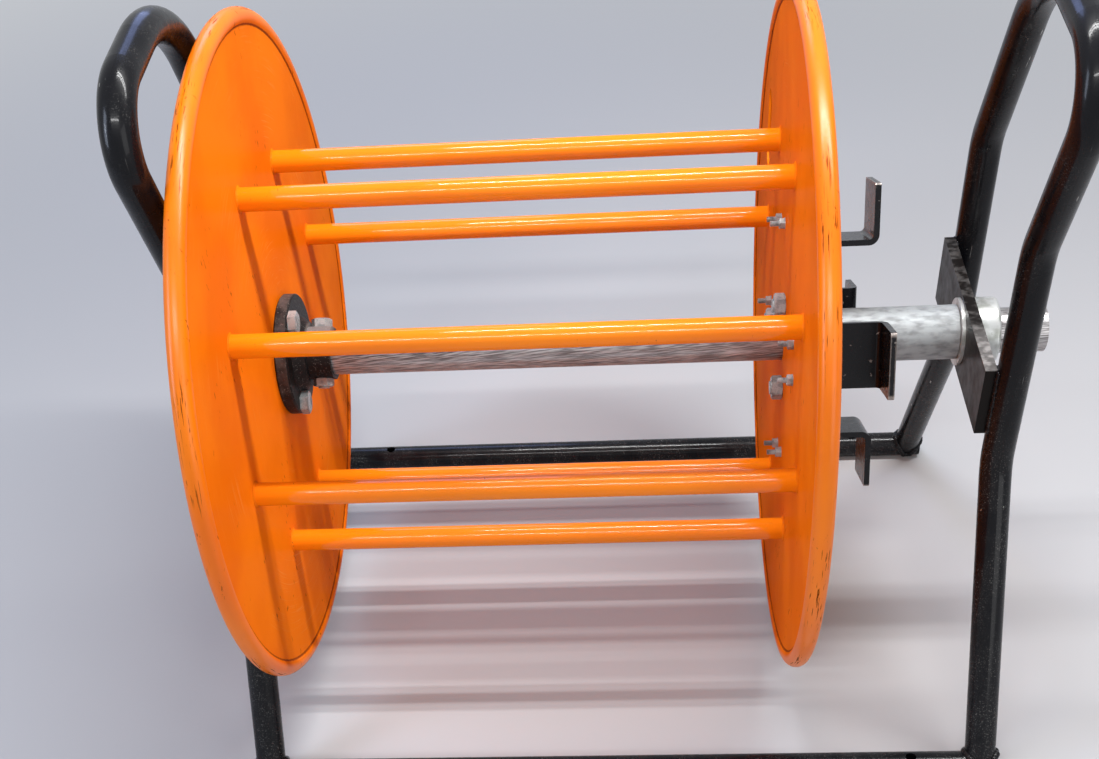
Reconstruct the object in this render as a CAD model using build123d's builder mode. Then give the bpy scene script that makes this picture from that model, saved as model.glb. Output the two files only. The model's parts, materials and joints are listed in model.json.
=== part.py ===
from build123d import *

import math
import os

# A cable reel: a steel drum of two round discs and eight bars, turning on a tube axle
# between two bent-tube side frames. X runs along the axle, Y to the rear, Z up, and the
# origin is on the floor under the middle of the stand. All sizes are in millimetres.

# Stand
axle_height = 335.5
frame_tube_d = 28.0
frame_tube_wall = 2.0
cross_tube_d = 27.0
cross_tube_wall = 2.0
foot_spread = 482.0
neck_width = 210.0
lower_bend_drop = 65.0
upper_bend_rear_rise = 133.0
upper_bend_front_rise = 146.0
grip_rear_y = 3.0
grip_rear_rise = 333.0
grip_front_y = -180.5
grip_front_rise = 322.0
leg_bend_r = 60.0
grip_rear_bend_r = 114.0
grip_front_bend_r = 46.0
floor_hole_d = 10.0
floor_hole_inset = 79.0

# Bearing plates and bearings
plate_length = 211.0
plate_height = 66.0
plate_thickness = 10.0
bearing_d = 60.0
bearing_length = 34.5
bearing_inner_step = 3.0
bearing_rounding = 3.5
running_clearance = 0.08
end_play = 0.5

# Axle
axle_d = 40.0
axle_wall = 3.0
axle_proud = 43.0

# Drum
disc_d = 600.0
disc_gap = 460.0
sheet_thickness = 2.0
rim_bead_d = 17.0
rim_bead_proud = 2.5
rim_mouth = 3.0
axle_hole_clearance = 0.5
left_dish_depth = 4.0
left_dish_flat_r = 60.0
left_dish_edge_r = 150.0
drum_phase = 37.2
bar_count = 8
bar_d = 20.0
bar_wall = 2.0
bar_circle_r = 174.0

# Slot in the right disc, through which the cable's inner end comes out
slot_length = 75.0
slot_width = 28.0
slot_circle_r = 227.5
slot_angle = 116.7
slot_turn = 27.0

# Hubs
hub_plate_d = 110.0
hub_plate_thickness = 12.0
hub_boss_d = 74.0
hub_boss_length = 10.0
hub_socket_d = 50.0
hub_socket_length = 22.0
hub_fillet_r = 4.0
hub_fit_clearance = 0.1
hub_bolt_count = 3
hub_bolt_circle_r = 45.0
hub_bolt_phase = 35.5
hub_bolt_d = 12.0
hub_bolt_af = 19.0
hub_head_height = 7.5
hub_nut_height = 10.0
bolt_end = 1.5
bolt_hole_clearance = 1.0
hexagon_corner_angle = 30.0
hexagon_face_ratio = 0.95

# Clamp bolt through each hub's socket
clamp_bolt_d = 10.0
clamp_bolt_af = 17.0
clamp_head_height = 8.0
clamp_nut_height = 7.5
clamp_flat_depth = 1.5
clamp_phase = 95.5

# Spacers on the axle. The left one is just long enough to keep the hub's nuts off the plate
sleeve_d = 48.3
sleeve_wall = 4.0
right_spacer_length = 109.0
left_nut_clearance = 1.0

# Tail hooks on the right disc's outer side
hook_count = 4
hook_phase = -14.0
hook_width = 56.0
hook_thickness = 5.0
hook_leg_r = 88.0
hook_length = 78.0
hook_lip = 47.0
hook_foot = 30.0
hook_bend_r = 4.0
hook_corner_r = 2.5
hook_bolt_d = 6.0
hook_bolt_spacing = 31.0
hook_hole_clearance = 0.6

# Places that follow from the sizes
axle_axis = Axis((0, 0, axle_height), (1, 0, 0))
foot_z = cross_tube_d / 2
hub_length = hub_plate_thickness + hub_boss_length + hub_socket_length
clamp_x = hub_length - hub_socket_length / 2
clamp_seat = hub_socket_d / 2 - clamp_flat_depth
clamp_hole_d = clamp_bolt_d + bolt_hole_clearance
left_spacer_length = hub_nut_height + bolt_end + left_nut_clearance - bearing_inner_step - end_play
drum_length = left_spacer_length + disc_gap - left_dish_depth + 2 * sheet_thickness + hub_length + right_spacer_length
bearing_inner_x = drum_length / 2 + end_play
bearing_outer_x = bearing_inner_x + bearing_length
plate_inner_x = bearing_inner_x + bearing_inner_step
plate_outer_x = plate_inner_x + plate_thickness
frame_x = plate_outer_x + frame_tube_d / 2
cross_tube_length = 2 * frame_x + frame_tube_d
axle_length = 2 * (bearing_outer_x + axle_proud)
left_seat_back_x = left_spacer_length - drum_length / 2
left_seat_x = left_seat_back_x + sheet_thickness
left_face_x = left_seat_x - left_dish_depth
right_face_x = left_face_x + disc_gap
right_back_x = right_face_x + sheet_thickness


def save(part, name):
    part.label = name
    export_step(part, f"parts/{name}.step")


def section_plane():
    """The upright plane through the axle: X along the axle and Y up from it."""
    return Plane(origin=(0, 0, axle_height), x_dir=(1, 0, 0), z_dir=(0, -1, 0))


def across_plane(x):
    """The plane square to the axle at x: X to the rear and Y up, with its centre on the axle."""
    return Plane(origin=(x, 0, axle_height), x_dir=(0, 1, 0), z_dir=(1, 0, 0))


def on_circle(radius, angle):
    """A point of the plane square to the axle. Angles rise from the front, over the top."""
    a = math.radians(angle)
    return (-radius * math.cos(a), radius * math.sin(a))


# Each side frame is one bent tube: two splayed legs, two uprights, and a handle loop on top.
def make_side_frame(x):
    half_foot = foot_spread / 2
    half_neck = neck_width / 2
    low = axle_height - lower_bend_drop
    with BuildPart() as frame:
        with BuildLine(Plane.YZ.offset(x)) as route:
            FilletPolyline(
                (half_foot, foot_z),
                (half_neck, low),
                (half_neck, axle_height + upper_bend_rear_rise),
                (grip_rear_y, axle_height + grip_rear_rise),
                (grip_front_y, axle_height + grip_front_rise),
                (-half_neck, axle_height + upper_bend_front_rise),
                (-half_neck, low),
                (-half_foot, foot_z),
                radius=[leg_bend_r, leg_bend_r, grip_rear_bend_r, grip_front_bend_r, leg_bend_r, leg_bend_r],
            )
        with BuildSketch(Plane(origin=route.line @ 0, z_dir=route.line % 0)):
            Circle(frame_tube_d / 2)
            Circle(frame_tube_d / 2 - frame_tube_wall, mode=Mode.SUBTRACT)
        sweep()
        # The feet are coped to sit on the round cross tubes
        with BuildSketch(Plane.YZ.offset(x)):
            with Locations((half_foot, foot_z), (-half_foot, foot_z)):
                Circle(cross_tube_d / 2)
        extrude(amount=frame_tube_d, both=True, mode=Mode.SUBTRACT)
    return frame.part


# The cross tubes lie on the floor and carry the feet. Each has a bolt hole near both ends.
def make_cross_tube(y):
    hole_x = cross_tube_length / 2 - floor_hole_inset
    with BuildPart() as tube:
        with BuildSketch(Plane.YZ.offset(-cross_tube_length / 2)):
            with Locations((y, foot_z)):
                Circle(cross_tube_d / 2)
                Circle(cross_tube_d / 2 - cross_tube_wall, mode=Mode.SUBTRACT)
        extrude(amount=cross_tube_length)
        with BuildSketch(Plane.XY):
            with Locations((-hole_x, y), (hole_x, y)):
                Circle(floor_hole_d / 2)
        extrude(amount=cross_tube_d, mode=Mode.SUBTRACT)
    return tube.part


# A flat bar across the two uprights of each side frame, bored for the bearing.
def make_bearing_plate(inner_x, outer_x):
    with BuildPart() as plate:
        with BuildSketch(across_plane(min(inner_x, outer_x))):
            Rectangle(plate_length, plate_height)
            Circle(bearing_d / 2, mode=Mode.SUBTRACT)
        extrude(amount=plate_thickness)
    return plate.part


# A turned bush welded into the plate, standing proud of both its faces, with its outer end rounded.
def make_bearing(inner_x, outward):
    with BuildPart() as bearing:
        with BuildSketch(across_plane(inner_x)):
            Circle(bearing_d / 2)
            Circle(axle_d / 2 + running_clearance, mode=Mode.SUBTRACT)
        extrude(amount=outward * bearing_length)
        rims = bearing.edges().filter_by(GeomType.CIRCLE).group_by(SortBy.RADIUS)[-1]
        outer_end = (inner_x + outward * bearing_length, 0, axle_height + bearing_d / 2)
        fillet(rims.sort_by_distance(outer_end)[0], bearing_rounding)
    return bearing.part


def make_tube(start_x, end_x, outer_d, inner_d):
    with BuildPart() as tube:
        with BuildSketch(across_plane(start_x)):
            Circle(outer_d / 2)
            Circle(inner_d / 2, mode=Mode.SUBTRACT)
        extrude(amount=end_x - start_x)
    return tube.part


def clamp_plane(face_x, distance):
    """Square to the clamp bolt of the hub on face_x, at a signed distance from the axle along the bolt."""
    y, z = on_circle(1, drum_phase + clamp_phase)
    return Plane(
        origin=(face_x + clamp_x, distance * y, axle_height + distance * z),
        x_dir=(1, 0, 0),
        z_dir=(0, y, z),
    )


# The axle is one plain tube, clamped in both hubs by cross bolts.
def make_axle():
    with BuildPart() as axle:
        with BuildSketch(across_plane(-axle_length / 2)):
            Circle(axle_d / 2)
            Circle(axle_d / 2 - axle_wall, mode=Mode.SUBTRACT)
        extrude(amount=axle_length)
        for face_x in (left_seat_x, right_back_x):
            with BuildSketch(clamp_plane(face_x, -axle_d)):
                Circle(clamp_hole_d / 2)
            extrude(amount=2 * axle_d, mode=Mode.SUBTRACT)
    return axle.part


# Each disc is sheet steel whose edge is rolled outwards into a curl. The curl stands a little
# proud of the inner face, which leaves a crease there, and its lip stops short of the sheet's back.
# The middle of the left disc is dished inwards, which gives the nuts behind it their room.
def make_disc(inner_x, outward, dish_depth, with_slot):
    bead_r = rim_bead_d / 2
    bead_circle_r = disc_d / 2 - bead_r
    bead_offset = bead_r - rim_bead_proud
    wall_crossing = math.sqrt((bead_r - sheet_thickness / 2) ** 2 - (bead_offset - sheet_thickness / 2) ** 2)
    sheet_edge = bead_circle_r - wall_crossing
    seat_x = inner_x - outward * dish_depth
    with BuildPart() as disc:
        with BuildSketch(section_plane()):
            with Locations((inner_x + outward * bead_offset, bead_circle_r)):
                Circle(bead_r)
                Circle(bead_r - sheet_thickness, mode=Mode.SUBTRACT)
            with Locations((inner_x + outward * (sheet_thickness + rim_mouth / 2), bead_circle_r - bead_r)):
                Rectangle(rim_mouth, rim_bead_d, mode=Mode.SUBTRACT)
            with BuildLine():
                Polyline(
                    (seat_x, 0),
                    (seat_x, left_dish_flat_r),
                    (inner_x, left_dish_edge_r),
                    (inner_x, sheet_edge),
                    (inner_x + outward * sheet_thickness, sheet_edge),
                    (inner_x + outward * sheet_thickness, left_dish_edge_r),
                    (seat_x + outward * sheet_thickness, left_dish_flat_r),
                    (seat_x + outward * sheet_thickness, 0),
                    close=True,
                )
            make_face()
        revolve(axis=axle_axis)
        with BuildSketch(across_plane(seat_x)):
            Circle(axle_d / 2 + axle_hole_clearance)
            for i in range(hub_bolt_count):
                with Locations(on_circle(hub_bolt_circle_r, drum_phase + hub_bolt_phase + i * 360 / hub_bolt_count)):
                    Circle((hub_bolt_d + bolt_hole_clearance) / 2)
        extrude(amount=outward * sheet_thickness, mode=Mode.SUBTRACT)
        if with_slot:
            with BuildSketch(across_plane(inner_x)):
                for i in range(hook_count):
                    angle = drum_phase + hook_phase + i * 360 / hook_count
                    with Locations(Location((0, 0, 0), (0, 0, 180 - angle))):
                        with Locations(
                            (hook_leg_r + hook_foot / 2, -hook_bolt_spacing / 2),
                            (hook_leg_r + hook_foot / 2, hook_bolt_spacing / 2),
                        ):
                            Circle((hook_bolt_d + hook_hole_clearance) / 2)
                # The slot lies along the disc's edge, turned a little towards the upright
                middle = drum_phase + slot_angle
                with Locations(Location((*on_circle(slot_circle_r, middle), 0), (0, 0, 270 - middle - slot_turn))):
                    SlotOverall(slot_length, slot_width)
            extrude(amount=outward * sheet_thickness, mode=Mode.SUBTRACT)
    return disc.part


# A bar is a round tube, welded end on to both discs.
def make_bar(index):
    angle = drum_phase + index * 360 / bar_count
    with BuildPart() as bar:
        with BuildSketch(across_plane(left_face_x)):
            with Locations(on_circle(bar_circle_r, angle)):
                Circle(bar_d / 2)
                Circle(bar_d / 2 - bar_wall, mode=Mode.SUBTRACT)
        extrude(amount=disc_gap)
    return bar.part


# A cast hub: a round flange, a boss and a socket, with flats for the clamp bolt.
def make_hub(face_x):
    boss_x = face_x + hub_plate_thickness + hub_boss_length
    end_x = face_x + hub_length
    with BuildPart() as hub:
        with BuildSketch(section_plane()) as section:
            with BuildLine():
                Polyline(
                    (face_x, 0),
                    (face_x, hub_plate_d / 2),
                    (face_x + hub_plate_thickness, hub_plate_d / 2),
                    (face_x + hub_plate_thickness, hub_boss_d / 2),
                    (boss_x, hub_socket_d / 2 + hub_fillet_r),
                    (boss_x, hub_socket_d / 2),
                    (end_x, hub_socket_d / 2),
                    (end_x, 0),
                    close=True,
                )
            make_face()
            root = section.vertices().sort_by_distance((face_x + hub_plate_thickness, 0, axle_height + hub_boss_d / 2))[0]
            fillet(root, hub_fillet_r)
        revolve(axis=axle_axis)
        rims = hub.edges().filter_by(GeomType.CIRCLE).group_by(SortBy.RADIUS)[-1]
        chamfer(rims, 1.5)
        with BuildSketch(across_plane(face_x)):
            Circle(axle_d / 2 + hub_fit_clearance)
            for i in range(hub_bolt_count):
                with Locations(on_circle(hub_bolt_circle_r, drum_phase + hub_bolt_phase + i * 360 / hub_bolt_count)):
                    Circle((hub_bolt_d + bolt_hole_clearance) / 2)
        extrude(amount=hub_length, mode=Mode.SUBTRACT)
        # A spot face round each bolt hole clears the bolt's head from the boss
        with BuildSketch(across_plane(face_x + hub_plate_thickness)):
            for i in range(hub_bolt_count):
                with Locations(on_circle(hub_bolt_circle_r, drum_phase + hub_bolt_phase + i * 360 / hub_bolt_count)):
                    Circle(hub_bolt_af / math.sqrt(3) + bolt_hole_clearance)
        extrude(amount=hub_length, mode=Mode.SUBTRACT)
        with BuildSketch(clamp_plane(face_x, -hub_socket_d)):
            Circle(clamp_hole_d / 2)
        extrude(amount=2 * hub_socket_d, mode=Mode.SUBTRACT)
        # Two flats on the socket seat the clamp bolt's head and nut
        for side in (-1, 1):
            with BuildSketch(clamp_plane(face_x, side * clamp_seat)):
                Rectangle(hub_socket_length, hub_socket_d)
            extrude(amount=side * clamp_flat_depth, mode=Mode.SUBTRACT)
    return hub.part


def bolt_plane(x, index):
    """Square to the axle at x, with its centre on a hub bolt and its normal towards +X."""
    y, z = on_circle(hub_bolt_circle_r, drum_phase + hub_bolt_phase + index * 360 / hub_bolt_count)
    return Plane(origin=(x, y, axle_height + z), x_dir=(0, 1, 0), z_dir=(1, 0, 0))


# A hexagon bolt: the head stands on the plane, with its corners turned off, and the shank goes down.
def make_bolt(plane, shank_d, across_flats, head_height, shank_length):
    corner_slope = math.tan(math.radians(hexagon_corner_angle))
    face_r = hexagon_face_ratio * across_flats / 2
    with BuildPart() as bolt:
        with BuildSketch(plane):
            RegularPolygon(across_flats / 2, 6, major_radius=False)
        extrude(amount=head_height)
        with Locations(plane):
            Cone(
                face_r + head_height / corner_slope,
                face_r,
                head_height,
                align=(Align.CENTER, Align.CENTER, Align.MIN),
                mode=Mode.INTERSECT,
            )
        with BuildSketch(plane):
            Circle(shank_d / 2)
        extrude(amount=-shank_length)
    return bolt.part


# A hexagon nut on the plane, with its corners turned off at both ends.
def make_nut(plane, bore_d, across_flats, height):
    corner_slope = math.tan(math.radians(hexagon_corner_angle))
    face_r = hexagon_face_ratio * across_flats / 2
    wide_r = face_r + height / corner_slope
    with BuildPart() as nut:
        with BuildSketch(plane):
            RegularPolygon(across_flats / 2, 6, major_radius=False)
            Circle(bore_d / 2, mode=Mode.SUBTRACT)
        extrude(amount=height)
        for low_r, high_r in ((wide_r, face_r), (face_r, wide_r)):
            with Locations(plane):
                Cone(low_r, high_r, height, align=(Align.CENTER, Align.CENTER, Align.MIN), mode=Mode.INTERSECT)
    return nut.part


# A tail hook is flat bar bent twice: a foot on the disc, a leg along the axle, and a lip.
def make_hook(index):
    y, z = on_circle(1, drum_phase + hook_phase + index * 360 / hook_count)
    side_plane = Plane(
        origin=(right_back_x, 0, axle_height), x_dir=(1, 0, 0), z_dir=Vector(1, 0, 0).cross(Vector(0, y, z))
    )
    inner_r = hook_leg_r - hook_thickness
    with BuildPart() as hook:
        with BuildSketch(side_plane):
            with BuildLine():
                FilletPolyline(
                    (0, hook_leg_r + hook_foot),
                    (0, inner_r),
                    (hook_length, inner_r),
                    (hook_length, hook_leg_r + hook_lip),
                    radius=hook_bend_r + hook_thickness,
                )
                FilletPolyline(
                    (hook_thickness, hook_leg_r + hook_foot),
                    (hook_thickness, hook_leg_r),
                    (hook_length - hook_thickness, hook_leg_r),
                    (hook_length - hook_thickness, hook_leg_r + hook_lip),
                    radius=hook_bend_r,
                )
                Line((0, hook_leg_r + hook_foot), (hook_thickness, hook_leg_r + hook_foot))
                Line((hook_length, hook_leg_r + hook_lip), (hook_length - hook_thickness, hook_leg_r + hook_lip))
            make_face()
        extrude(amount=hook_width / 2, both=True)
        corners = hook.edges().filter_by(Axis.X).filter_by(lambda e: e.length < hook_thickness + 1)
        fillet(corners, hook_corner_r)
        with BuildSketch(Plane(origin=(right_back_x, 0, axle_height), x_dir=(0, y, z), z_dir=(1, 0, 0))):
            with Locations(
                (hook_leg_r + hook_foot / 2, -hook_bolt_spacing / 2),
                (hook_leg_r + hook_foot / 2, hook_bolt_spacing / 2),
            ):
                Circle((hook_bolt_d + hook_hole_clearance) / 2)
        extrude(amount=hook_thickness, mode=Mode.SUBTRACT)
    return hook.part


os.makedirs("parts", exist_ok=True)

save(make_side_frame(-frame_x), "left_side_frame")
save(make_side_frame(frame_x), "right_side_frame")
save(make_cross_tube(-foot_spread / 2), "front_cross_tube")
save(make_cross_tube(foot_spread / 2), "rear_cross_tube")
save(make_bearing_plate(-plate_inner_x, -plate_outer_x), "left_bearing_plate")
save(make_bearing_plate(plate_inner_x, plate_outer_x), "right_bearing_plate")
save(make_bearing(-bearing_inner_x, -1), "left_bearing")
save(make_bearing(bearing_inner_x, 1), "right_bearing")

save(make_axle(), "axle_tube")
save(make_disc(left_face_x, -1, left_dish_depth, with_slot=False), "left_disc")
save(make_disc(right_face_x, 1, 0, with_slot=True), "right_disc")
for bar_index in range(bar_count):
    save(make_bar(bar_index), f"bar_{bar_index + 1}")

# The spacers keep the drum between the bearings
sleeve_bore = sleeve_d - 2 * sleeve_wall
right_spacer_x = right_back_x + hub_length
save(make_tube(right_spacer_x, right_spacer_x + right_spacer_length, sleeve_d, sleeve_bore), "right_spacer")
save(make_tube(left_seat_back_x - left_spacer_length, left_seat_back_x, sleeve_d, sleeve_bore), "left_spacer")

# Each hub is bolted to its disc, with the nuts behind the sheet, and clamped on the axle
for side_name, face_x, back_x in (("left", left_seat_x, left_seat_back_x), ("right", right_back_x, right_face_x)):
    save(make_hub(face_x), f"{side_name}_hub")
    shank = hub_plate_thickness + sheet_thickness + hub_nut_height + bolt_end
    for bolt_index in range(hub_bolt_count):
        head_seat = bolt_plane(face_x + hub_plate_thickness, bolt_index)
        nut_seat = bolt_plane(back_x - hub_nut_height, bolt_index)
        bolt = make_bolt(head_seat, hub_bolt_d, hub_bolt_af, hub_head_height, shank)
        save(bolt, f"{side_name}_hub_bolt_{bolt_index + 1}")
        save(make_nut(nut_seat, hub_bolt_d, hub_bolt_af, hub_nut_height), f"{side_name}_hub_nut_{bolt_index + 1}")
    shank = 2 * clamp_seat + clamp_nut_height + bolt_end
    clamp_bolt = make_bolt(clamp_plane(face_x, clamp_seat), clamp_bolt_d, clamp_bolt_af, clamp_head_height, shank)
    save(clamp_bolt, f"{side_name}_clamp_bolt")
    nut_seat = clamp_plane(face_x, -clamp_seat - clamp_nut_height)
    save(make_nut(nut_seat, clamp_bolt_d, clamp_bolt_af, clamp_nut_height), f"{side_name}_clamp_nut")

for hook_index in range(hook_count):
    save(make_hook(hook_index), f"tail_hook_{hook_index + 1}")
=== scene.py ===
import json
import math
import random

import bmesh
import bpy
from mathutils import Matrix, Vector, noise


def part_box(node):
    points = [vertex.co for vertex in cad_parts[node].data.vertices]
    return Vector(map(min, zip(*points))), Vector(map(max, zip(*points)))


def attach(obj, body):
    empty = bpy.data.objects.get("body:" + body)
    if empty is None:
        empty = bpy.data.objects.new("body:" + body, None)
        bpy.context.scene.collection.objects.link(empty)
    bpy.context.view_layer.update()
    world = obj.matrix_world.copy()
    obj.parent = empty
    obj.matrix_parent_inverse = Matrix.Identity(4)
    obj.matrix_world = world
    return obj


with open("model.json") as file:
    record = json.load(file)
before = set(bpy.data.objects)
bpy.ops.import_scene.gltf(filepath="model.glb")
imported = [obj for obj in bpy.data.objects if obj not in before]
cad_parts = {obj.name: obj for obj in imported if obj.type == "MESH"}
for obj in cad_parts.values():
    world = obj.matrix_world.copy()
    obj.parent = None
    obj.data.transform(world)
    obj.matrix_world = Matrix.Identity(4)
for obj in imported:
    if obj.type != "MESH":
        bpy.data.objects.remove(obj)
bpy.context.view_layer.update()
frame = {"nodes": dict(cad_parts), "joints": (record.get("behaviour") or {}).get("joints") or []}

# Side frames and cross tubes: round steel tube, bent cold, welded into a stand and painted
# black. The paint is glossy, dusty in small specks, and chipped to bare steel where the
# reel is carried and set down.


class Value:
    """One output among a tree's nodes. Arithmetic on values adds Math nodes."""

    def __init__(self, nodes, socket):
        self.nodes = nodes
        self.socket = socket

    def __add__(self, other):
        return self.nodes.math("ADD", self, other)

    def __sub__(self, other):
        return self.nodes.math("SUBTRACT", self, other)

    def __rsub__(self, other):
        return self.nodes.math("SUBTRACT", other, self)

    def __mul__(self, other):
        return self.nodes.math("MULTIPLY", self, other)

    def __abs__(self):
        return self.nodes.math("ABSOLUTE", self)

    __radd__ = __add__
    __rmul__ = __mul__

    def capped(self):
        """The same value, at most 1."""
        return self.nodes.math("MINIMUM", self, 1.0)

    def sibling(self, output):
        """Another output of the node that this value comes from."""
        return Value(self.nodes, self.socket.node.outputs[output])


class Nodes:
    """A tree of shader nodes, which belongs to a finish or to the sky."""

    def __init__(self, tree):
        self.tree = tree

    def node(self, kind, settings=None, sockets=None, output=0):
        """Adds a node. Its settings are set first, then its sockets are set or linked."""
        made = self.tree.nodes.new(kind)
        for name, setting in (settings or {}).items():
            setattr(made, name, setting)
        for name, value in (sockets or {}).items():
            self.feed(made.inputs[name], value)
        return Value(self, made.outputs[output])

    def feed(self, socket, value):
        if isinstance(value, Value):
            self.tree.links.new(value.socket, socket)
        else:
            socket.default_value = value

    def math(self, operation, *numbers):
        return self.node("ShaderNodeMath", {"operation": operation}, dict(enumerate(numbers)))


class Finish(Nodes):
    """A surface finish. Its patterns lie in the piece's own coordinates, in metres."""

    def __init__(self, name, looks):
        self.material = bpy.data.materials.new(name)
        self.material.use_nodes = True
        super().__init__(self.material.node_tree)
        self.shader = self.tree.nodes["Principled BSDF"]
        self.place = self.node("ShaderNodeTexCoord", output="Object")
        self.surface(looks)

    def surface(self, looks):
        for name, value in looks.items():
            self.feed(self.shader.inputs[name], value)

    def relief(self, height, depth):
        """Raises the surface by up to depth metres where height is 1."""
        sockets = {"Height": height, "Distance": depth, "Strength": 1.0}
        self.feed(self.shader.inputs["Normal"], self.node("ShaderNodeBump", sockets=sockets))

    def cloud(self, size, stretch=(1, 1, 1), shift=0.0, detail=3.0, place=None, slant=0.0):
        """Noise about 0.5, with blotches about size metres across, longer along a stretched axis."""
        place = place or self.place
        if slant:
            place = self.node("ShaderNodeMapping", sockets={"Vector": place, "Rotation": (0, slant, 0)})
        scale = [1 / (size * s) for s in stretch]
        sockets = {"Vector": place, "Location": (shift, shift, shift), "Scale": scale}
        placed = self.node("ShaderNodeMapping", sockets=sockets)
        return self.node("ShaderNodeTexNoise", sockets={"Vector": placed, "Scale": 1.0, "Detail": detail})

    def step(self, value, start, full):
        """0 at start and 1 at full, smooth between them. Full may be less than start."""
        sockets = {"Value": value, "From Min": start, "From Max": full}
        return self.node("ShaderNodeMapRange", {"interpolation_type": "SMOOTHSTEP"}, sockets)

    def blend(self, mask, first, second):
        """The first colour where mask is 0, and the second where it is 1."""
        return self.node("ShaderNodeMix", {"data_type": "RGBA"}, {0: mask, 6: first, 7: second}, output=2)

    def axes(self):
        """The three coordinates as values."""
        split = self.node("ShaderNodeSeparateXYZ", sockets={"Vector": self.place})
        return [split.sibling(i) for i in range(3)]


def dress(finish, *names):
    for name in names:
        for spot in frame["nodes"][name].material_slots:
            spot.material = finish.material


black = (0.005, 0.005, 0.0065, 1)
dust = (0.13, 0.125, 0.12, 1)
bare_steel = (0.55, 0.54, 0.52, 1)

tube_paint = Finish(
    "black_tube_paint", {"Specular IOR Level": 0.1, "Coat Weight": 0.18, "Coat Roughness": 0.09}
)
_, _, height = tube_paint.axes()
near_floor = tube_paint.step(height, start=0.3, full=0.05)
on_leg = tube_paint.step(height, start=0.5, full=0.2)
specks = tube_paint.step(tube_paint.cloud(0.0012), 0.56, 0.72)
dust_cloud = tube_paint.cloud(0.022, stretch=(1, 1, 4), shift=3.0, detail=6.0)
dusty = tube_paint.step(dust_cloud + on_leg * 0.1, 0.47, 0.72)
chip_cloud = tube_paint.cloud(0.006, stretch=(1, 1, 2), shift=7.0, detail=5.0)
chips = tube_paint.step(chip_cloud + on_leg * 0.04 - near_floor * 0.025, 0.755, 0.775)
scratch_cloud = tube_paint.cloud(0.002, stretch=(1, 4, 18), shift=5.0, detail=2.0)
scratches = tube_paint.step(scratch_cloud, 0.72, 0.78)
worn = tube_paint.step(tube_paint.cloud(0.08, shift=11.0), 0.45, 0.7)
metal = (chips + scratches * worn * (1 - near_floor * 0.8)).capped()
painted = tube_paint.blend(specks * dusty * (on_leg * 0.35 + 0.55) + dusty * 0.025, black, dust)
tube_paint.surface({
    "Base Color": tube_paint.blend(metal, painted, bare_steel),
    "Metallic": metal * 0.9,
    "Roughness": tube_paint.cloud(0.012, shift=2.0) * 0.25 + 0.15,
})
tube_paint.relief(tube_paint.cloud(0.004, shift=9.0) * 0.3 - metal, depth=0.00012)
dress(tube_paint, "left_side_frame", "right_side_frame", "front_cross_tube", "rear_cross_tube")

# Welds of the stand: a bead runs round each foot where the leg sits on its cross tube, and
# along each upright where the bearing plate lies against it. All are under the black paint.
tube_r = 0.014
upright_y = 0.105
bend_z = 0.2705
foot_bead_r = 0.0036
plate_bead_r = 0.0028
bead_step = 0.0026
drop_size_range = (0.85, 1.12)
drop_stray = 0.12
weld_voxel = 0.0008
seam_margin = 0.003
seam_sunk = plate_bead_r * 0.4
inner_seam_share = 0.94
outer_seam_offset = 0.0022


def new_piece(name, mesh, finish, body):
    data = bpy.data.meshes.new(name)
    mesh.to_mesh(data)
    mesh.free()
    data.materials.append(finish.material)
    piece = bpy.data.objects.new(name, data)
    bpy.context.scene.collection.objects.link(piece)
    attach(piece, body)
    return piece


def foot_ring(side_x, foot):
    """Points round a leg where it sits on its cross tube."""
    low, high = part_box(foot)
    seat = Vector((side_x, (low.y + high.y) / 2, (low.z + high.z) / 2))
    cross_r = (high.z - low.z) / 2
    bend = Vector((side_x, math.copysign(upright_y, seat.y), bend_z))
    along = (bend - seat).normalized()
    across = along.cross(Vector((1, 0, 0)))
    count = round(2 * math.pi * tube_r / bead_step)
    ring = []
    for i in range(count):
        turn = 2 * math.pi * i / count
        # The leg's wall meets the round of the cross tube this far out from the seat.
        rise = math.sqrt(max(0, cross_r**2 - (tube_r * math.sin(turn)) ** 2))
        rim = Vector((1, 0, 0)) * math.cos(turn) + across * math.sin(turn)
        ring.append(seat + along * rise + rim * tube_r)
    return ring


def upright_seam(x, y, bottom, length):
    """Points up a straight seam."""
    count = round(length / bead_step)
    return [Vector((x, y, bottom + length * i / count)) for i in range(count + 1)]


def add_bead(mesh, route, radius, dice):
    """A row of overlapping drops of weld metal along the route, a list of points."""
    for place in route:
        size = radius * dice.uniform(*drop_size_range)
        stray = Vector([dice.uniform(-1, 1) for _ in range(3)]) * radius * drop_stray
        spot = Matrix.Translation(place + stray)
        bmesh.ops.create_icosphere(mesh, subdivisions=2, radius=size, matrix=spot)


def melt(piece, voxel):
    """Joins a piece's drops into one skin."""
    remesh = piece.modifiers.new("melt", "REMESH")
    remesh.mode = "VOXEL"
    remesh.voxel_size = voxel
    remesh.use_smooth_shade = True
    whole = piece.evaluated_get(bpy.context.evaluated_depsgraph_get())
    loose = piece.data
    piece.data = bpy.data.meshes.new_from_object(whole)
    piece.modifiers.clear()
    bpy.data.meshes.remove(loose)


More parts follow.
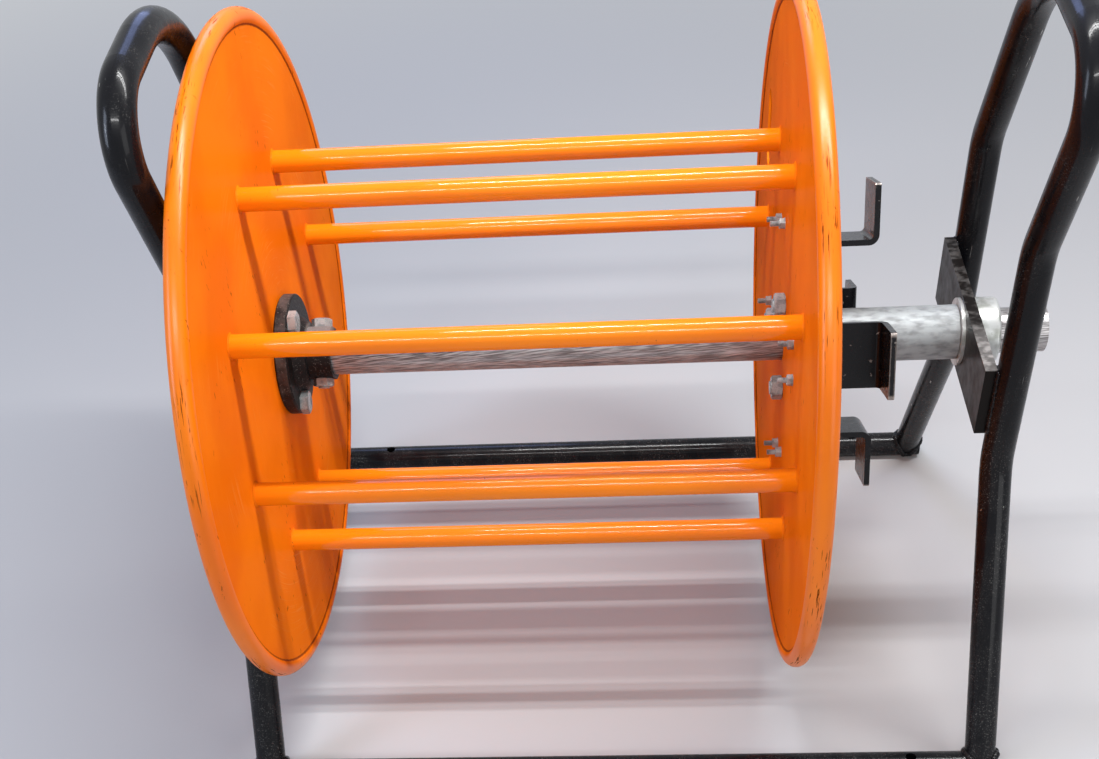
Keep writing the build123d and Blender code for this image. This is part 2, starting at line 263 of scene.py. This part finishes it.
dice = random.Random(5)
frame_low, frame_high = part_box("right_side_frame")
frame_x = (frame_low.x + frame_high.x) / 2
for side, side_x in (("left", -frame_x), ("right", frame_x)):
    beads = bmesh.new()
    for foot in ("front_cross_tube", "rear_cross_tube"):
        add_bead(beads, foot_ring(side_x, foot), foot_bead_r, dice)
    plate_low, plate_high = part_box(f"{side}_bearing_plate")
    seam_x = side_x - math.copysign(tube_r - seam_sunk, side_x)
    seam_length = plate_high.z - plate_low.z - 2 * seam_margin
    for tube_y in (-upright_y, upright_y):
        for seam_y in (tube_y * inner_seam_share, tube_y + math.copysign(outer_seam_offset, tube_y)):
            seam = upright_seam(seam_x, seam_y, plate_low.z + seam_margin, seam_length)
            add_bead(beads, seam, plate_bead_r, dice)
    melt(new_piece(f"{side}_stand_welds", beads, tube_paint, "stand"), weld_voxel)

# Bearing plates: black flat bar across the two uprights. The top edge is knocked all along,
# and rubbed down to bare steel at its front end.
plate_black = (0.007, 0.0055, 0.005, 1)
plate_steel = (0.38, 0.365, 0.355, 1)
plate_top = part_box("right_bearing_plate")[1].z
knock_depth = 0.0012
knock_core = 0.0002
rub_start_y = -0.005
rub_full_y = -0.035

plate_paint = Finish("black_plate_paint", {"Specular IOR Level": 0.1})
_, depth, height = plate_paint.axes()
on_top = plate_paint.step(height, start=plate_top - knock_depth, full=plate_top - knock_core)
rubbed = plate_paint.step(depth + plate_paint.cloud(0.02) * 0.05, start=rub_start_y, full=rub_full_y)
knocked = plate_paint.step(plate_paint.cloud(0.007, stretch=(1.4, 1, 1), detail=9.0), 0.42, 0.7)
scuff_cloud = plate_paint.cloud(0.012, stretch=(1, 3, 1), shift=4.0, detail=6.0)
scuffed = plate_paint.step(scuff_cloud, 0.66, 0.74)
plate_metal = (on_top * (rubbed * (knocked * 0.5 + 0.3) + knocked * 0.16) + scuffed * 0.06).capped()
plate_paint.surface({
    "Base Color": plate_paint.blend(plate_metal, plate_black, plate_steel),
    "Metallic": plate_metal * 0.5,
    "Roughness": plate_paint.cloud(0.01) * 0.3 + 0.22,
})
plate_paint.relief(plate_paint.cloud(0.003) * 0.4 - plate_metal, depth=0.0001)
dress(plate_paint, "left_bearing_plate", "right_bearing_plate")

# Bearings: steel bushes pressed and welded into the plates, turned and left bare. Handling
# and grease have left them bright with small dark spots.
turned_bright = (0.6, 0.61, 0.6, 1)
turned_dull = (0.33, 0.34, 0.31, 1)
pit_brown = (0.12, 0.1, 0.08, 1)

turned_steel = Finish("turned_steel", {})
turning_marks = turned_steel.cloud(0.0008, stretch=(1, 30, 30))
tarnish = turned_steel.step(turned_steel.cloud(0.012, detail=6.0), 0.42, 0.72)
pits = turned_steel.step(turned_steel.cloud(0.0025, shift=4.0), 0.66, 0.74)
tarnished = turned_steel.blend(tarnish, turned_bright, turned_dull)
turned_steel.surface({
    "Base Color": turned_steel.blend(pits * 0.6, tarnished, pit_brown),
    "Metallic": 0.65,
    "Roughness": turning_marks * 0.25 + 0.22,
})
turned_steel.relief(turning_marks * 0.5 - pits, depth=0.00004)
dress(turned_steel, "left_bearing", "right_bearing")

# Spacers: two lengths of thick steel tube slid over the axle, one at each end, which keep
# the drum in place between the bearings. They are bare, and bright and blotchy from handling.
spacer_bright = (0.4, 0.425, 0.435, 1)
spacer_stained = (0.25, 0.265, 0.27, 1)

spacer_steel = Finish("spacer_steel", {})
draw_marks = spacer_steel.cloud(0.0012, stretch=(40, 1, 1), detail=4.0)
stains = spacer_steel.step(spacer_steel.cloud(0.006, stretch=(2.2, 1, 1), detail=9.0), 0.38, 0.72)
spacer_steel.surface({
    "Base Color": spacer_steel.blend(stains, spacer_bright, spacer_stained),
    "Metallic": 0.5,
    "Roughness": draw_marks * 0.2 + stains * 0.12 + 0.46,
})
spacer_steel.relief(draw_marks, depth=0.00004)
dress(spacer_steel, "left_spacer", "right_spacer")

# Axle: one drawn steel tube through both hubs and both bearings. It is bare, with fine
# lengthwise scratches and a brown film of old oil.
axle_bright = (0.58, 0.56, 0.56, 1)
oil_brown = (0.075, 0.062, 0.06, 1)

axle_steel = Finish("axle_steel", {})
axle_marks = axle_steel.cloud(0.0009, stretch=(24, 1, 1), detail=5.0, slant=0.09)
streaks = axle_steel.step(axle_marks, 0.38, 0.66)
film = axle_steel.step(axle_steel.cloud(0.03, stretch=(4, 1, 1)), 0.4, 0.75)
axle_steel.surface({
    "Base Color": axle_steel.blend((1 - streaks) * 0.75 + film * 0.25, axle_bright, oil_brown),
    "Metallic": 0.8,
    "Roughness": axle_marks * 0.25 + 0.22,
})
axle_steel.relief(axle_marks, depth=0.00006)
dress(axle_steel, "axle_tube")

# Discs: sheet steel with a rolled rim, painted orange. The rims are glossy, with dark scrapes
# along their edge. A dark brown line of painted shade runs in the crease inside them, and the
# sheet is dull and scuffed.
axle_z = frame["joints"][0]["pos_m"][2]
rim_r = 0.3
rim_start_r = 0.2875
rim_full_r = 0.2925
edge_start_r = 0.2958
edge_full_r = 0.2985
crease_r = 0.2855
crease_reach = 0.0021
crease_core = 0.0009
bright_orange = (0.86, 0.19, 0.004, 1)
deep_orange = (0.78, 0.15, 0.003, 1)
rubbed_orange = (0.85, 0.36, 0.1, 1)
crease_shade_brown = (0.2, 0.03, 0.002, 1)
dark_scrape = (0.09, 0.022, 0.006, 1)


def about_axle(finish):
    """How far a point lies along, behind and above the axle's middle, and its radius."""
    along, behind, up = finish.axes()
    above = up - axle_z
    return along, behind, above, finish.math("SQRT", behind * behind + above * above)


disc_paint = Finish("orange_disc_paint", {"Specular IOR Level": 0.0, "Coat Roughness": 0.3})
along, behind, above, radius = about_axle(disc_paint)
turn = disc_paint.math("ARCTAN2", behind, above)
# The place on the disc as if its rim were rolled out straight, so that scrapes run along it.
rolled = disc_paint.node("ShaderNodeCombineXYZ", sockets={"X": along, "Y": radius, "Z": turn * rim_r})
mottle = disc_paint.step(disc_paint.cloud(0.11, detail=4.0), 0.35, 0.65)
on_rim = disc_paint.step(radius, start=rim_start_r, full=rim_full_r)
on_edge = disc_paint.step(radius, start=edge_start_r, full=edge_full_r)
scrape_cloud = disc_paint.cloud(0.0011, stretch=(1, 1, 18), shift=3.0, place=rolled)
scraped = disc_paint.step(scrape_cloud, 0.59, 0.64)
patch_cloud = disc_paint.cloud(0.03, stretch=(1, 1, 3), shift=8.0, detail=2.0, place=rolled)
scrape_patch = disc_paint.step(patch_cloud, 0.46, 0.58)
# Painted shade: a dark brown line along the crease, where the rolled rim meets the sheet.
off_crease = abs(radius - crease_r) + disc_paint.cloud(0.004, shift=6.0) * 0.0012
crease_shade = disc_paint.step(off_crease, start=crease_reach, full=crease_core)
scuff_cloud = disc_paint.cloud(0.0035, stretch=(1, 1, 3), shift=15.0, detail=5.0)
scuffs = disc_paint.step(scuff_cloud, 0.62, 0.68)
scuff_patch = disc_paint.step(disc_paint.cloud(0.04, shift=21.0), 0.56, 0.64)
rub_cloud = disc_paint.cloud(0.0012, stretch=(1, 1, 60), shift=12.0, place=rolled)
rub_marks = disc_paint.step(rub_cloud, 0.55, 0.75)
rub_patch = disc_paint.step(disc_paint.cloud(0.07, shift=17.0), 0.45, 0.65)
scrape_mask = (on_edge * scraped * scrape_patch + scuffs * scuff_patch * 0.7).capped()
fresh = disc_paint.blend(mottle, bright_orange, deep_orange)
rubbed = disc_paint.blend(rub_marks * rub_patch * (1 - on_rim) * 0.35, fresh, rubbed_orange)
with_crease_shade = disc_paint.blend(crease_shade * 0.85, rubbed, crease_shade_brown)
disc_paint.surface({
    "Base Color": disc_paint.blend(scrape_mask * 0.9, with_crease_shade, dark_scrape),
    "Roughness": mottle * 0.1 + scrape_mask * 0.4 + 0.3,
    "Coat Weight": (on_rim * 0.6 + 0.07) * (1 - scrape_mask),
})
disc_paint.relief(disc_paint.cloud(0.005, detail=1.0) * 0.3 - scrape_mask, depth=0.00004)
dress(disc_paint, "left_disc", "right_disc")

# Bars: round tube, welded between the discs and painted with them, glossy, with small dark
# nicks where cable has rubbed across them.
bar_count = 8
# Painted light: the bars' orange is set lighter and yellower than the discs' paint, for the light on their
# tops.
lit_bright_bar = (0.93, 0.255, 0.006, 1)
lit_deep_bar = (0.86, 0.2, 0.004, 1)

bar_paint = Finish(
    "orange_bar_paint", {"Specular IOR Level": 0.0, "Coat Weight": 0.65, "Coat Roughness": 0.07}
)
bar_mottle = bar_paint.cloud(0.03, stretch=(3, 1, 1), detail=5.0)
nicks = bar_paint.step(bar_paint.cloud(0.003, stretch=(1, 2, 2), shift=4.0, detail=5.0), 0.7, 0.75)
nick_patch = bar_paint.step(bar_paint.cloud(0.04, shift=9.0), 0.5, 0.6)
nick_mask = nicks * nick_patch
lit_bar_orange = bar_paint.blend(bar_mottle, lit_bright_bar, lit_deep_bar)
bar_paint.surface({
    "Base Color": bar_paint.blend(nick_mask * 0.8, lit_bar_orange, dark_scrape),
    "Roughness": bar_mottle * 0.1 + 0.3,
})
bar_paint.relief(bar_paint.cloud(0.009, detail=1.0) * 0.3 - nick_mask, depth=0.000015)
dress(bar_paint, *[f"bar_{i}" for i in range(1, bar_count + 1)])

# Welds of the bars: a small fillet runs round each bar end where it meets its disc, and
# disappears under the orange paint. Its outline is given in shares of its leg, first out
# along the disc and then off it along the bar.
bar_r = 0.01
bar_circle_r = 0.174
bar_phase_degrees = 37.2
fillet_leg = 0.0022
fillet_sunk = 0.0004
fillet_outline = ((0, 0), (1, 0), (0.55, 0.2), (0.2, 0.55), (0, 1))
fillet_sides = 40
ripples_per_metre = 240
ripple_height = 0.0005
left_face_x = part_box("bar_1")[0].x
right_face_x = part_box("bar_1")[1].x

for side, face_x, inward in (("left", left_face_x, 1), ("right", right_face_x, -1)):
    welds = bmesh.new()
    for i in range(bar_count):
        angle = math.radians(bar_phase_degrees) + 2 * math.pi * i / bar_count
        centre = Vector((face_x, -bar_circle_r * math.cos(angle), axle_z + bar_circle_r * math.sin(angle)))
        ring = []
        for out, off in fillet_outline:
            corner = Vector((inward * fillet_leg * off, 0, bar_r - fillet_sunk + fillet_leg * out))
            ring.append(welds.verts.new(centre + corner))
        edges = [welds.edges.new((ring[k - 1], ring[k])) for k in range(len(ring))]
        bmesh.ops.spin(
            welds, geom=ring + edges, cent=centre, axis=(1, 0, 0), dvec=(0, 0, 0),
            angle=2 * math.pi, steps=fillet_sides, use_merge=True,
        )
    bmesh.ops.remove_doubles(welds, verts=welds.verts, dist=0.00001)
    for vert in welds.verts:
        on_disc = abs(vert.co.x - face_x) < 0.0001
        if not on_disc:
            vert.co.x += inward * ripple_height * noise.noise(vert.co * ripples_per_metre)
    bmesh.ops.recalc_face_normals(welds, faces=welds.faces)
    for face in welds.faces:
        face.smooth = True
    new_piece(f"{side}_bar_welds", welds, disc_paint, "drum")

# Hubs: iron castings with a round flange, a boss and a narrower socket for the axle. They
# are turned and painted black. The flange's rim is rubbed brown-grey on its upper side only,
# part wear and part painted light, and the socket's top is painted grey as a painted highlight.
hub_r = 0.055
socket_r = 0.03
cast_black = (0.009, 0.008, 0.008, 1)
cast_grey_wear_and_highlight = (0.32, 0.28, 0.26, 1)

cast_paint = Finish("black_casting", {"Specular IOR Level": 0.14})
_, _, above, radius = about_axle(cast_paint)
grain = cast_paint.cloud(0.0022, detail=4.0)
ragged_r = radius + cast_paint.cloud(0.012) * 0.002
on_edge = cast_paint.step(ragged_r, start=hub_r + 0.0004, full=hub_r + 0.0012)
# The flange's rim is rubbed lighter on its upper side only: real wear, with painted light on the side the
# light falls on.
lit_upper_side = cast_paint.step(above, start=-0.03, full=0.02)
rub_patch = cast_paint.step(cast_paint.cloud(0.02, shift=5.0, detail=5.0), 0.3, 0.62)
rubbed = on_edge * lit_upper_side * rub_patch
spots = cast_paint.step(cast_paint.cloud(0.0016, shift=9.0), 0.6, 0.68)
# Painted highlight: the top of the socket is painted grey, where the light falls on it.
on_socket = cast_paint.step(radius, start=socket_r, full=socket_r - 0.003)
socket_top_highlight = cast_paint.step(above + grain * 0.006, start=0.014, full=0.026) * on_socket
cast_wear_and_highlight = (rubbed * 0.25 + spots * 0.3 + socket_top_highlight * 0.6).capped()
cast_paint.surface({
    "Base Color": cast_paint.blend(cast_wear_and_highlight, cast_black, cast_grey_wear_and_highlight),
    "Roughness": grain * 0.3 + 0.32,
})
cast_paint.relief(grain, depth=0.00025)
dress(cast_paint, "left_hub", "right_hub")

# Hub bolts and clamp bolts: hexagon steel bolts and nuts, zinc plated and dulled in patches.
# Three hold each hub to its disc, and one goes across the hub's socket and the axle.
hub_bolt_count = 3
zinc_bright = (0.4, 0.43, 0.43, 1)
zinc_dull = (0.19, 0.205, 0.21, 1)
grime_brown = (0.12, 0.11, 0.1, 1)

zinc = Finish("zinc_plate", {})
bloom = zinc.step(zinc.cloud(0.006, detail=4.0), 0.4, 0.65)
grime = zinc.step(zinc.cloud(0.008, shift=6.0), 0.55, 0.75)
zinc_grey = zinc.blend(bloom, zinc_bright, zinc_dull)
zinc.surface({
    "Base Color": zinc.blend(grime * 0.35, zinc_grey, grime_brown),
    "Metallic": 0.2,
    "Roughness": bloom * 0.2 + 0.22,
})
zinc.relief(zinc.cloud(0.0014), depth=0.00003)
for side in ("left", "right"):
    dress(zinc, f"{side}_clamp_bolt", f"{side}_clamp_nut")
    for i in range(1, hub_bolt_count + 1):
        dress(zinc, f"{side}_hub_bolt_{i}", f"{side}_hub_nut_{i}")

# Tail hooks: flat bar bent twice and painted black, rubbed to pale steel at the tips of the
# lips and here and there along the edges.
hook_count = 4
hook_lag_degrees = 14
hook_phase = math.radians(bar_phase_degrees - hook_lag_degrees)
hook_tip_r = 0.135
hook_half_width = 0.028
hook_lip_x = 0.2335
hook_steel = (0.62, 0.56, 0.52, 1)

hook_paint = Finish(
    "black_hook_paint", {"Specular IOR Level": 0.18, "Coat Weight": 0.12, "Coat Roughness": 0.1}
)
along, behind, above, radius = about_axle(hook_paint)
turn = hook_paint.math("ARCTAN2", above, 0 - behind)
half_share = math.pi / hook_count
# The place on the nearest hook: its turn from the hook's middle, how far out it is, how far aside.
own_turn = hook_paint.math("WRAP", turn - hook_phase, half_share, -half_share)
reach = radius * hook_paint.math("COSINE", own_turn)
aside = abs(radius * hook_paint.math("SINE", own_turn))
ragged = hook_paint.cloud(0.003, detail=5.0) * 0.0016
at_tip = hook_paint.step(reach + ragged, start=hook_tip_r - 0.0012, full=hook_tip_r - 0.0002)
at_lip_edge = hook_paint.step(abs(along - hook_lip_x) + ragged, start=0.0021, full=0.0028)
at_corner = hook_paint.step(aside + ragged, start=hook_half_width - 0.004, full=hook_half_width - 0.001)
hook_chips = hook_paint.step(hook_paint.cloud(0.005, shift=3.0, detail=5.0), 0.68, 0.73)
hook_metal = (at_tip * (at_lip_edge * 0.18 + at_corner * 0.4) + hook_chips * 0.25).capped()
hook_paint.surface({
    "Base Color": hook_paint.blend(hook_metal, black, hook_steel),
    "Metallic": hook_metal * 0.5,
    "Roughness": hook_paint.cloud(0.008, shift=2.0) * 0.2 + 0.16,
})
hook_paint.relief(hook_paint.cloud(0.003, shift=8.0) * 0.3 - hook_metal, depth=0.00008)
dress(hook_paint, *[f"tail_hook_{i}" for i in range(1, hook_count + 1)])

# Hook bolts: two M5 bolts hold each hook's foot. The heads are on the foot, and the nuts,
# washers and long thread ends are on the disc's inner side. All are zinc plated.
hook_bolt_circle_r = 0.103
hook_bolt_aside = 0.0155
hook_thickness = 0.005
thread_r = 0.0025
thread_root_r = 0.0021
thread_pitch = 0.0009
thread_end = 0.0075
thread_tail = thread_pitch * 0.4
thread_sides = 16
small_flats = 0.0085
small_head = 0.0035
small_nut = 0.0045
end_flat_share = 0.475
corner_slope = math.radians(30)
washer_r = 0.005
washer_height = 0.0007
washer_edge = washer_height * 0.2
round_sides = 24


def hexagon(flats, height):
    """A hexagon's body that stands on the YZ plane along X, with its far corners turned off."""
    body = bmesh.new()
    bmesh.ops.create_cone(
        body, cap_ends=True, segments=round_sides, radius1=1, radius2=1, depth=height,
        matrix=Matrix.Translation((0, 0, height / 2)),
    )
    end = max(body.faces, key=lambda face: face.calc_center_median().z)
    bmesh.ops.inset_region(body, faces=[end], thickness=0.1)
    end = max(body.faces, key=lambda face: (len(face.verts), face.calc_center_median().z))
    flat_r = end_flat_share * flats
    sixth = math.pi / 3
    # The sides are drawn out to six flats, and the end stays round, so the corners slope back.
    for vert in body.verts:
        turn = math.atan2(vert.co.y, vert.co.x)
        reach = flats / 2 / math.cos((turn + sixth / 2) % sixth - sixth / 2)
        on_end = vert in end.verts
        if vert.co.z > height / 2 and not on_end:
            vert.co.z -= (reach - flat_r) * math.tan(corner_slope)
        rim = Vector((math.cos(turn), math.sin(turn), 0)) * (flat_r if on_end else reach)
        vert.co = (rim.x, rim.y, vert.co.z)
    bmesh.ops.rotate(body, verts=body.verts, matrix=Matrix.Rotation(math.pi / 2, 3, "Y"))
    return body


def turned_body(profile, sides):
    """A turned body about the X axis. The profile is a list of (x, radius) from pole to pole."""
    body = bmesh.new()
    line = [body.verts.new((x, 0, r)) for x, r in profile]
    edges = [body.edges.new((line[i], line[i + 1])) for i in range(len(line) - 1)]
    bmesh.ops.spin(
        body, geom=line + edges, cent=(0, 0, 0), axis=(1, 0, 0), dvec=(0, 0, 0),
        angle=2 * math.pi, steps=sides, use_merge=True,
    )
    bmesh.ops.remove_doubles(body, verts=body.verts, dist=0.000005)
    bmesh.ops.recalc_face_normals(body, faces=body.faces)
    return body


def add_copy(mesh, body, place):
    """Adds a copy of body to mesh, moved by the matrix place."""
    copied = bpy.data.meshes.new("copied")
    body.to_mesh(copied)
    copied.transform(place)
    mesh.from_mesh(copied)
    bpy.data.meshes.remove(copied)


disc_inner_x = right_face_x
foot_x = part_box("tail_hook_1")[0].x + hook_thickness
grip = foot_x - disc_inner_x
threads = round((thread_end + small_nut + washer_height) / thread_pitch)
shank = [(grip, 0), (grip, thread_r), (0, thread_r)]
for k in range(threads):
    shank.append((-(k + 0.5) * thread_pitch, thread_root_r))
    shank.append((-(k + 1) * thread_pitch, thread_r))
shank_end = -threads * thread_pitch - thread_tail
shank.append((shank_end, thread_root_r))
shank.append((shank_end, 0))
washer_profile = [
    (0, 0),
    (0, washer_r),
    (washer_edge - washer_height, washer_r),
    (-washer_height, washer_r - washer_edge),
    (-washer_height, 0),
]
head = hexagon(small_flats, small_head)
nut = hexagon(small_flats, small_nut)
bmesh.ops.rotate(nut, verts=nut.verts, matrix=Matrix.Rotation(math.pi, 3, "Z"))
washer = turned_body(washer_profile, round_sides)
stud = turned_body(shank, thread_sides)
dice = random.Random(8)
bolts = bmesh.new()
for i in range(hook_count):
    angle = hook_phase + 2 * math.pi * i / hook_count
    radial = Vector((0, -math.cos(angle), math.sin(angle)))
    sideways = Vector((0, math.sin(angle), math.cos(angle)))
    for side in (-1, 1):
        hole = radial * hook_bolt_circle_r + sideways * hook_bolt_aside * side
        hole += Vector((disc_inner_x, 0, axle_z))
        for body, ahead in ((head, grip), (washer, 0), (nut, -washer_height), (stud, 0)):
            turned_round = Matrix.Rotation(dice.uniform(0, math.pi / 3), 4, "X")
            add_copy(bolts, body, Matrix.Translation(hole + Vector((ahead, 0, 0))) @ turned_round)
for body in (head, nut, washer, stud):
    body.free()
new_piece("hook_bolts", bolts, zinc, "drum")

# Floor: one flat pale sheet that takes the shadows. Where it is seen, directly or in a
# reflection, it grows paler with distance, until it meets the backdrop's colour.
floor_reach = 12
floor_grey = (0.52, 0.52, 0.53, 1)
no_glow = (0, 0, 0, 1)
far_glow = (0.5, 0.515, 0.53, 1)
glow_start = 0.5
glow_full = 3.2


def seen_rays(nodes):
    """1 for rays from the camera and from glossy and clear surfaces, and 0 for all others."""
    path = nodes.node("ShaderNodeLightPath", output="Is Camera Ray")
    return (path + path.sibling("Is Glossy Ray") + path.sibling("Is Transmission Ray")).capped()


floor_mesh = bmesh.new()
bmesh.ops.create_grid(floor_mesh, x_segments=1, y_segments=1, size=floor_reach)
floor_data = bpy.data.meshes.new("floor")
floor_mesh.to_mesh(floor_data)
floor_mesh.free()
floor = bpy.data.objects.new("floor", floor_data)
bpy.context.scene.collection.objects.link(floor)
pale = Finish("pale_floor", {"Base Color": floor_grey, "Roughness": 0.85, "Specular IOR Level": 0.0})
far = pale.node("ShaderNodeVectorMath", {"operation": "LENGTH"}, {0: pale.place}, output="Value")
far_seen = seen_rays(pale) * pale.step(far, start=glow_start, full=glow_full)
pale.surface({"Emission Color": pale.blend(far_seen, no_glow, far_glow), "Emission Strength": 1.0})
floor_data.materials.append(pale.material)

# Sky: a dim, slightly blue light from all round. Where it is seen, the plain pale backdrop
# shows in its place.
backdrop = (0.622, 0.642, 0.668, 1)
sky_light = (0.9, 0.94, 1, 1)
sky_strength = 0.26

world = bpy.data.worlds.new("studio")
world.use_nodes = True
sky = Nodes(world.node_tree)
sky.tree.nodes.remove(sky.tree.nodes["Background"])
lighting = sky.node("ShaderNodeBackground", sockets={"Color": sky_light, "Strength": sky_strength})
shown = sky.node("ShaderNodeBackground", sockets={"Color": backdrop, "Strength": 1.0})
either = sky.node("ShaderNodeMixShader", sockets={0: seen_rays(sky), 1: lighting, 2: shown})
sky.feed(sky.tree.nodes["World Output"].inputs["Surface"], either)
bpy.context.scene.world = world

# Lamps: two long tubes overhead, in line with the axle, cast the bands of shadow on the left
# disc, and a third in front draws bright lines on the bars. Two soft lamps light the front
# and the left side, and a small blue one lights the left handle loop from behind.


def lamp(name, place, aim, wide, tall, power, colour=(1, 1, 1)):
    """A flat lamp that faces aim. One side is level, the other upright, or on X if it faces down."""
    light = bpy.data.lights.new(name, "AREA")
    light.shape = "RECTANGLE"
    light.size = tall
    light.size_y = wide
    light.energy = power
    light.color = colour
    holder = bpy.data.objects.new(name, light)
    bpy.context.scene.collection.objects.link(holder)
    holder.location = place
    holder.rotation_euler = (Vector(aim) - Vector(place)).to_track_quat("-Z", "X").to_euler()


for name, y in (("ceiling_tube_front", 0.04), ("ceiling_tube_rear", 0.1)):
    lamp(name, place=(0.35, y, 1.35), aim=(0.35, y, 0.3), wide=0.025, tall=1.2, power=10)
lamp("front_tube", place=(-0.13, -1.4, 1.75), aim=(-0.13, 0, 0.35), wide=1.2, tall=0.06, power=14)
lamp("front_lamp", place=(1.4, -1.8, 0.95), aim=(-0.1, 0, 0.25), wide=1.2, tall=1.4, power=11)
lamp(
    "side_lamp", place=(-1.5, -0.7, 1.0), aim=(-0.3, 0, 0.4), wide=0.4, tall=0.9, power=11,
    colour=(0.7, 0.8, 1),
)
lamp(
    "rear_lamp", place=(-0.42, 1.5, 1.4), aim=(-0.34, 0, 0.66), wide=0.55, tall=0.7, power=6,
    colour=(0.38, 0.5, 1),
)

# Camera: it stands in front of the reel and looks down on it. The photograph is a crop, so
# its optical centre lies below the picture's middle, and the camera is shifted by as much.
photo_width = 1099
photo_height = 759
focal_pixels = 1422.63
centre_column = 540.82
centre_row = 611.39
camera_place = (0.0265, -1.0937, 1.0931)
camera_turn_degrees = (44.715, 3.776, 2.090)

camera_data = bpy.data.cameras.new("camera")
camera_data.sensor_width = 36
camera_data.lens = camera_data.sensor_width * focal_pixels / photo_width
camera_data.shift_x = (photo_width / 2 - centre_column) / photo_width
camera_data.shift_y = (centre_row - photo_height / 2) / photo_width
camera = bpy.data.objects.new("camera", camera_data)
bpy.context.scene.collection.objects.link(camera)
camera.location = camera_place
camera.rotation_euler = [math.radians(degrees) for degrees in camera_turn_degrees]
bpy.context.scene.camera = camera
bpy.context.scene.view_settings.view_transform = "Standard"
